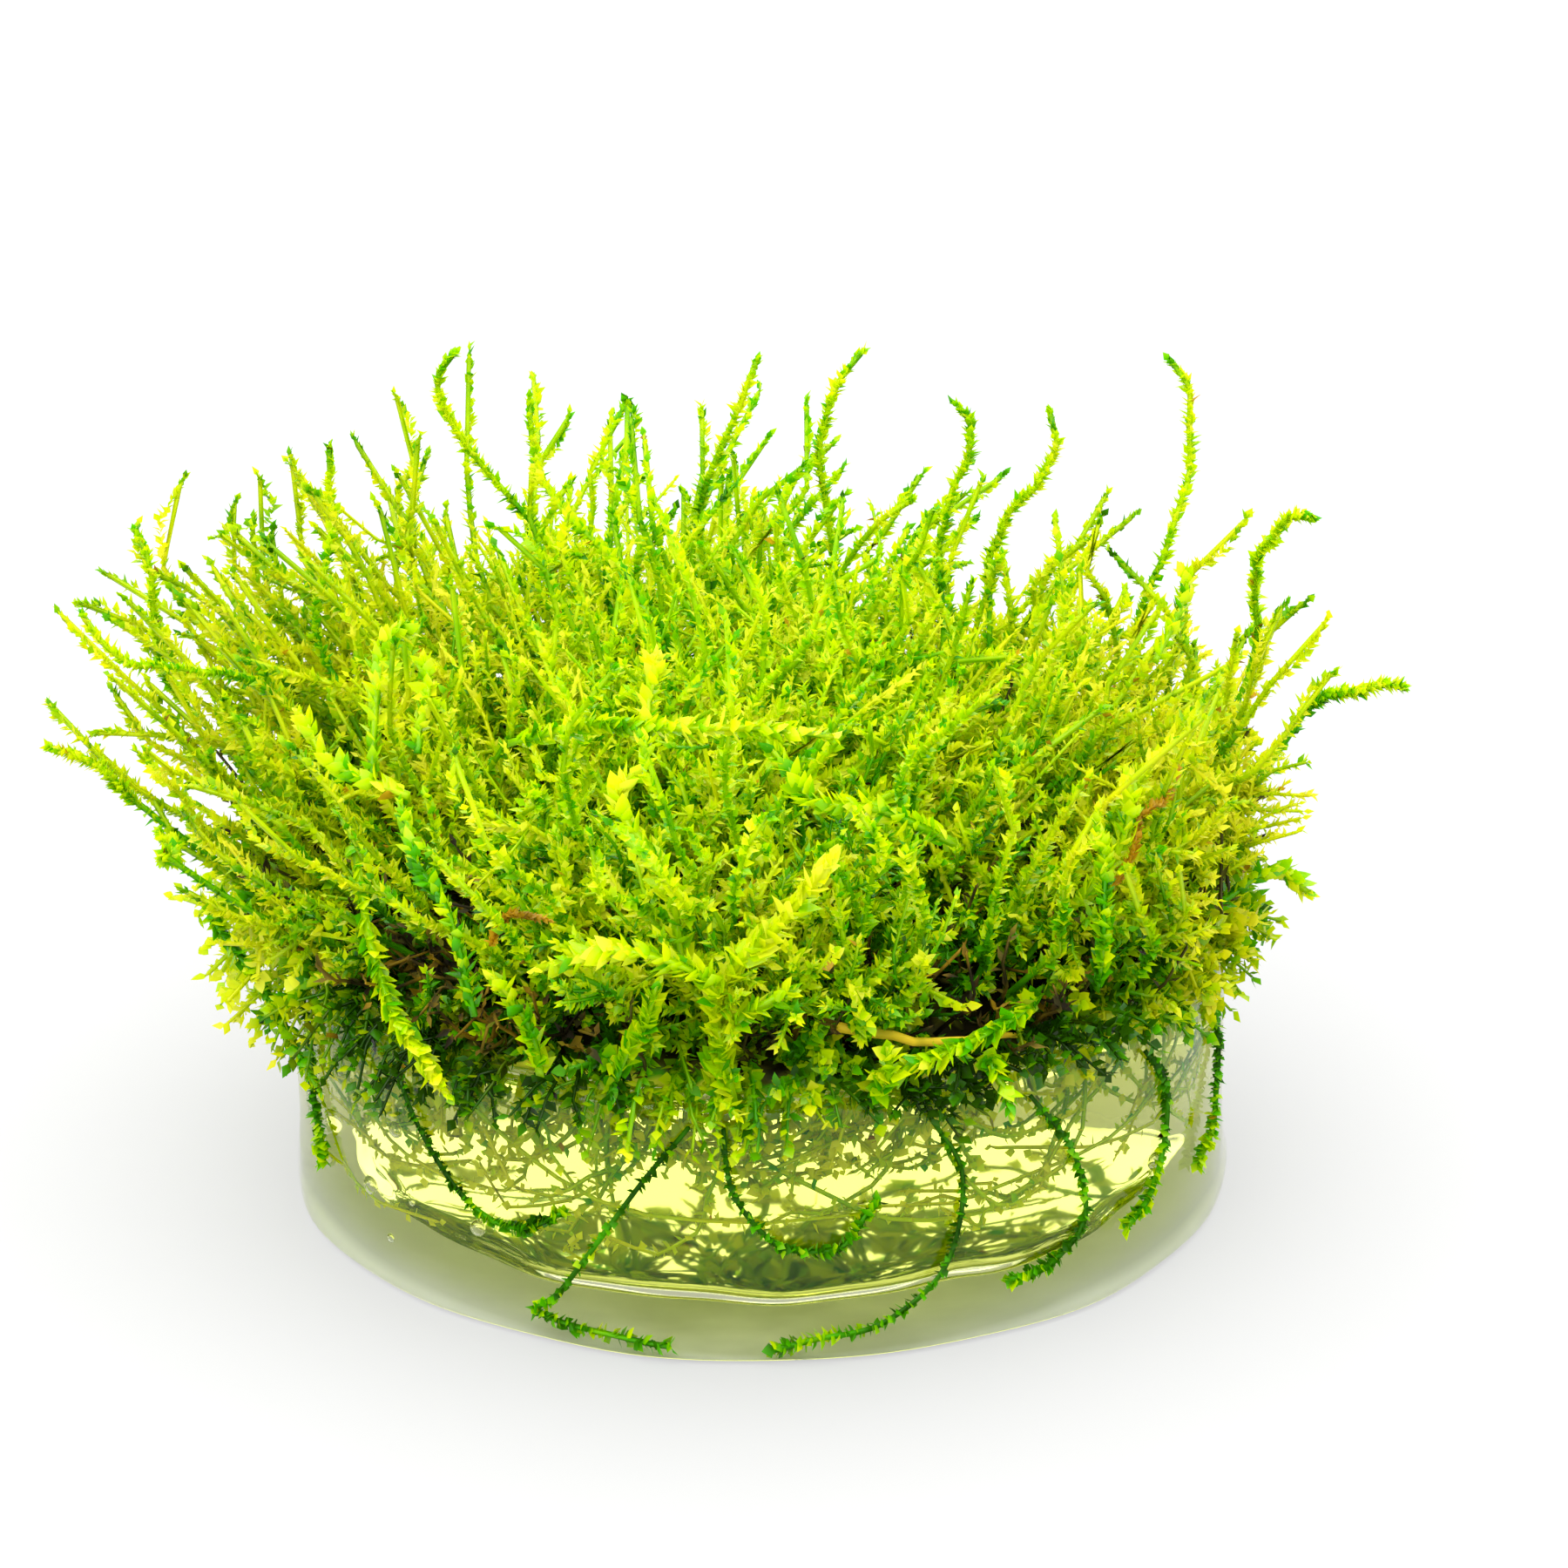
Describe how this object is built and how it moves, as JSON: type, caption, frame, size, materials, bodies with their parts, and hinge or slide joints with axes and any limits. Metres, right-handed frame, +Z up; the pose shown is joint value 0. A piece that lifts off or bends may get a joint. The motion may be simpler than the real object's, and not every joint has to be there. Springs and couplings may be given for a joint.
{
  "type": "moss clump",
  "caption": "Bushy clump of leafy aquatic moss fanning out from a round puck of clear culture gel, with runners on its side.",
  "frame": {"origin": "centre of the gel puck's flat underside", "axes": "+Z up, +X along the clump's widest way, -Y towards the front that the picture shows"},
  "size_m": [0.097, 0.0906, 0.059],
  "materials": {
    "clear_gel": "clear, wet gel with a faint yellow-green tint",
    "old_growth": "matt dark brown tangle of old stems and leaves",
    "moss_leaf": "wet, translucent small leaves",
    "young_shoot": "wet, translucent young leaves",
    "runner_stem": "wet dark green stems"
  },
  "bodies": {
    "root": {"gel_puck": "clear_gel", "old_growth_mat": "old_growth", "moss_tuft_01": "moss_leaf", "moss_tuft_02": "moss_leaf", "moss_tuft_03": "moss_leaf", "moss_tuft_04": "moss_leaf", "moss_tuft_05": "moss_leaf", "moss_tuft_06": "moss_leaf", "moss_tuft_07": "moss_leaf", "moss_tuft_08": "moss_leaf", "moss_tuft_09": "moss_leaf", "moss_tuft_10": "moss_leaf", "moss_tuft_11": "moss_leaf", "moss_tuft_12": "moss_leaf", "moss_tuft_13": "moss_leaf", "moss_tuft_14": "moss_leaf", "moss_tuft_15": "moss_leaf", "moss_tuft_16": "moss_leaf", "moss_tuft_17": "moss_leaf", "moss_tuft_18": "moss_leaf", "moss_tuft_19": "moss_leaf", "moss_tuft_20": "moss_leaf", "moss_tuft_21": "moss_leaf", "moss_tuft_22": "moss_leaf", "moss_tuft_23": "moss_leaf", "moss_tuft_24": "moss_leaf", "moss_tuft_25": "moss_leaf", "moss_tuft_26": "moss_leaf", "moss_tuft_27": "moss_leaf", "moss_tuft_28": "moss_leaf", "moss_tuft_29": "moss_leaf", "moss_tuft_30": "moss_leaf", "moss_tuft_31": "moss_leaf", "moss_tuft_32": "moss_leaf", "moss_tuft_33": "moss_leaf", "moss_tuft_34": "moss_leaf", "moss_tuft_35": "moss_leaf", "moss_tuft_36": "moss_leaf", "long_shoot_01": "young_shoot", "long_shoot_02": "young_shoot", "long_shoot_03": "young_shoot", "long_shoot_04": "young_shoot", "long_shoot_05": "young_shoot", "long_shoot_06": "young_shoot", "long_shoot_07": "young_shoot", "long_shoot_08": "young_shoot", "long_shoot_09": "young_shoot", "long_shoot_10": "young_shoot", "long_shoot_11": "young_shoot", "long_shoot_12": "young_shoot", "long_shoot_13": "young_shoot", "long_shoot_14": "young_shoot", "runner_01": "runner_stem", "runner_02": "runner_stem", "runner_03": "runner_stem", "runner_04": "runner_stem", "runner_05": "runner_stem", "runner_06": "runner_stem", "runner_07": "runner_stem", "runner_08": "runner_stem"}
  },
  "joints": []
}
